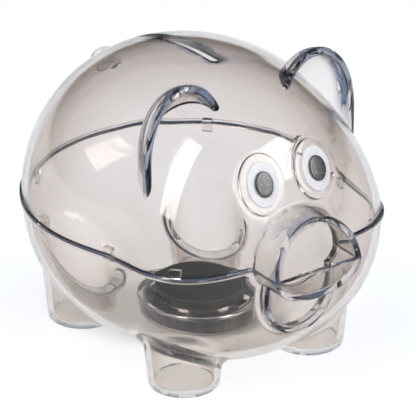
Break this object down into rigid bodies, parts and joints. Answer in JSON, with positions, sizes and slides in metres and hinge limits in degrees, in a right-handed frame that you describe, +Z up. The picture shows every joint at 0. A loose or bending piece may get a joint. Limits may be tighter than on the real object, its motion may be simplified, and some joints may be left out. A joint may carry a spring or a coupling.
{
  "type": "piggy bank",
  "caption": "Clear plastic pig-shaped coin bank: two half shells joined at mid height, coin slot in the back and a twist-lock stopper in the belly.",
  "frame": {"origin": "on the table, under the middle of the whole object's bounding box", "axes": "+Z up, the pig faces -Y, its left side is +X; the legs stand on z = 0"},
  "size_m": [0.1106, 0.13, 0.1072],
  "materials": {
    "clear_shell": "clear polished polystyrene with a faint warm grey tint",
    "stopper_black": "black moulded plastic, satin",
    "eye_white": "pale grey speckled plastic film",
    "eye_black": "black gloss plastic film"
  },
  "bodies": {
    "bank": {"upper_shell": "clear_shell", "lower_shell": "clear_shell", "eye_white_left": "eye_white", "eye_white_right": "eye_white", "eye_pupil_left": "eye_black", "eye_pupil_right": "eye_black"},
    "stopper": {"belly_stopper": "stopper_black"}
  },
  "joints": [
    {"name": "stopper_twist", "type": "hinge", "parent": "bank", "child": "stopper", "pos_m": [0, 0.0025, 0.012], "axis": [0, 0, -1], "range_deg": [0, 60]}
  ]
}
